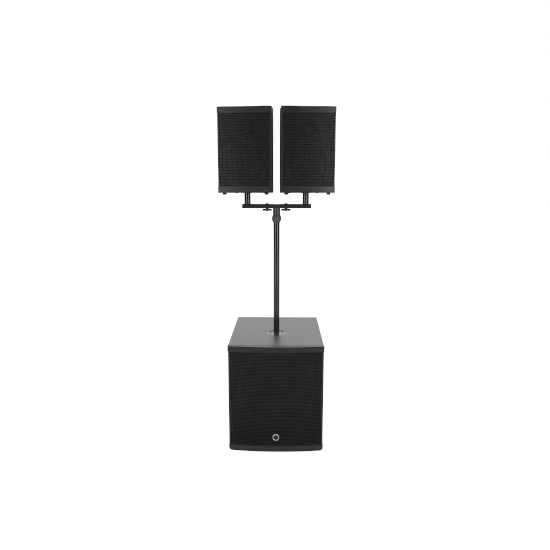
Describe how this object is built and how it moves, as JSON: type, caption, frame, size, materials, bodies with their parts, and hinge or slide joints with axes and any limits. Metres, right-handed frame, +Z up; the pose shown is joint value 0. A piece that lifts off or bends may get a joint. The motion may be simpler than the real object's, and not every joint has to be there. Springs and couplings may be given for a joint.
{
  "type": "pa speaker stack",
  "caption": "Black floor subwoofer with a telescopic pole and a two-arm bracket that carries a pair of small two-way speakers above it.",
  "frame": {"origin": "on the floor, under the middle of the object's box, which is the middle of the subwoofer", "axes": "+Z up along the pole, fronts face -Y, +X to the right as seen from the front"},
  "size_m": [0.6708, 0.684, 1.982],
  "materials": {
    "cabinet_paint": "black textured paint on plywood",
    "baffle_board": "plywood stained black",
    "front_trim": "fine-grained black plastic",
    "grille_steel": "black powder coat on perforated steel",
    "badge_metal": "satin",
    "driver_frame": "black paint on cast metal",
    "magnet_steel": "ferrite between zinc-plated plates",
    "surround_cloth": "doped cloth",
    "cone_paper": "black pulp paper",
    "handle_plastic": "moulded black plastic",
    "foot_rubber": "matt",
    "amp_plate": "black powder coat on steel sheet",
    "heatsink_aluminium": "black anodised",
    "circuit_board": "fibreglass board and components",
    "knob_plastic": "moulded",
    "socket_plastic": "moulded",
    "pole_steel": "semi-gloss black powder coat on steel",
    "collar_plastic": "dark grey glass-filled plastic",
    "dark_zinc": "black zinc on steel",
    "horn_plastic": "moulded"
  },
  "bodies": {
    "subwoofer": {"sub_cabinet": "cabinet_paint", "sub_baffle": "baffle_board", "sub_port_shelf": "baffle_board", "sub_front_trim_top": "front_trim", "sub_front_trim_bottom": "front_trim", "sub_grille": "grille_steel", "sub_badge": "badge_metal", "sub_woofer_basket": "driver_frame", "sub_woofer_magnet": "magnet_steel", "sub_woofer_surround": "surround_cloth", "sub_pole_flange": "pole_steel", "sub_handle_left": "handle_plastic", "sub_handle_right": "handle_plastic", "sub_foot_front_left": "foot_rubber", "sub_foot_front_right": "foot_rubber", "sub_foot_rear_left": "foot_rubber", "sub_foot_rear_right": "foot_rubber", "sub_amp_plate": "amp_plate", "sub_amp_heatsink": "heatsink_aluminium", "sub_amp_module": "circuit_board", "sub_signal_input": "socket_plastic", "sub_speaker_output_left": "socket_plastic", "sub_speaker_output_right": "socket_plastic", "sub_mains_inlet": "socket_plastic"},
    "sub_cone": {"sub_woofer_cone": "cone_paper"},
    "level_knob": {"sub_level_knob": "knob_plastic"},
    "crossover_knob": {"sub_crossover_knob": "knob_plastic"},
    "power_switch": {"sub_power_switch": "knob_plastic"},
    "pole_lower": {"pole_outer_tube": "pole_steel"},
    "clamp_collar": {"pole_clamp_collar": "collar_plastic"},
    "pole_upper": {"pole_inner_tube": "pole_steel"},
    "bracket": {"bracket_center_bar": "pole_steel", "bracket_bolt_left": "dark_zinc", "bracket_bolt_right": "dark_zinc"},
    "arm_left": {"bracket_arm_left": "pole_steel"},
    "arm_right": {"bracket_arm_right": "pole_steel"},
    "wing_nut_left": {"bracket_wing_nut_left": "dark_zinc"},
    "wing_nut_right": {"bracket_wing_nut_right": "dark_zinc"},
    "top_left": {"top_left_cabinet": "cabinet_paint", "top_left_front": "front_trim", "top_left_grille": "grille_steel", "top_left_horn": "horn_plastic", "top_left_compression_driver": "magnet_steel", "top_left_connector_plate": "amp_plate", "top_left_pole_cup": "driver_frame", "top_left_woofer_basket": "driver_frame", "top_left_woofer_magnet": "magnet_steel", "top_left_woofer_surround": "surround_cloth"},
    "top_left_cone": {"top_left_woofer_cone": "cone_paper"},
    "top_right": {"top_right_cabinet": "cabinet_paint", "top_right_front": "front_trim", "top_right_grille": "grille_steel", "top_right_horn": "horn_plastic", "top_right_compression_driver": "magnet_steel", "top_right_connector_plate": "amp_plate", "top_right_pole_cup": "driver_frame", "top_right_woofer_basket": "driver_frame", "top_right_woofer_magnet": "magnet_steel", "top_right_woofer_surround": "surround_cloth"},
    "top_right_cone": {"top_right_woofer_cone": "cone_paper"}
  },
  "joints": [
    {"name": "pole_lift", "type": "slide", "parent": "subwoofer", "child": "pole_lower", "axis": [0, 0, 1], "range_m": [0, 0.1]},
    {"name": "collar_turn", "type": "hinge", "parent": "pole_lower", "child": "clamp_collar", "pos_m": [0, -0.047, 1.353], "axis": [0, 0, 1], "range_deg": [0, 120]},
    {"name": "pole_height", "type": "slide", "parent": "pole_lower", "child": "pole_upper", "axis": [0, 0, 1], "range_m": [0, 0.35]},
    {"name": "bracket_swivel", "type": "hinge", "parent": "pole_upper", "child": "bracket", "pos_m": [0, -0.047, 1.4], "axis": [0, 0, 1], "continuous": true},
    {"name": "arm_left_slide", "type": "slide", "parent": "bracket", "child": "arm_left", "axis": [-1, 0, 0], "range_m": [0, 0.045]},
    {"name": "arm_right_slide", "type": "slide", "parent": "bracket", "child": "arm_right", "axis": [1, 0, 0], "range_m": [0, 0.045]},
    {"name": "wing_nut_left_turn", "type": "hinge", "parent": "bracket", "child": "wing_nut_left", "pos_m": [-0.056, -0.047, 1.405], "axis": [0, 0, 1], "continuous": true},
    {"name": "wing_nut_right_turn", "type": "hinge", "parent": "bracket", "child": "wing_nut_right", "pos_m": [0.056, -0.047, 1.405], "axis": [0, 0, 1], "continuous": true},
    {"name": "top_left_swivel", "type": "hinge", "parent": "arm_left", "child": "top_left", "pos_m": [-0.173, -0.047, 1.505], "axis": [0, 0, 1], "range_deg": [-12, 15]},
    {"name": "top_right_swivel", "type": "hinge", "parent": "arm_right", "child": "top_right", "pos_m": [0.173, -0.047, 1.505], "axis": [0, 0, 1], "range_deg": [-15, 12]},
    {"name": "sub_cone_travel", "type": "slide", "parent": "subwoofer", "child": "sub_cone", "axis": [0, 1, 0], "range_m": [-0.008, 0.008], "stiffness_N_per_m": 9700, "deforming": ["sub_woofer_surround"]},
    {"name": "top_left_cone_travel", "type": "slide", "parent": "top_left", "child": "top_left_cone", "axis": [0.0837, 0.9965, 0], "range_m": [-0.005, 0.005], "stiffness_N_per_m": 4970, "deforming": ["top_left_woofer_surround"]},
    {"name": "top_right_cone_travel", "type": "slide", "parent": "top_right", "child": "top_right_cone", "axis": [-0.0837, 0.9965, 0], "range_m": [-0.005, 0.005], "stiffness_N_per_m": 4970, "deforming": ["top_right_woofer_surround"]},
    {"name": "level_knob_turn", "type": "hinge", "parent": "subwoofer", "child": "level_knob", "pos_m": [-0.105, 0.335, 0.36], "axis": [0, 1, 0], "range_deg": [-150, 150]},
    {"name": "crossover_knob_turn", "type": "hinge", "parent": "subwoofer", "child": "crossover_knob", "pos_m": [-0.045, 0.335, 0.36], "axis": [0, 1, 0], "range_deg": [-150, 150]},
    {"name": "power_switch_rock", "type": "hinge", "parent": "subwoofer", "child": "power_switch", "pos_m": [-0.08, 0.3255, 0.284], "axis": [1, 0, 0], "range_deg": [0, 16]}
  ]
}
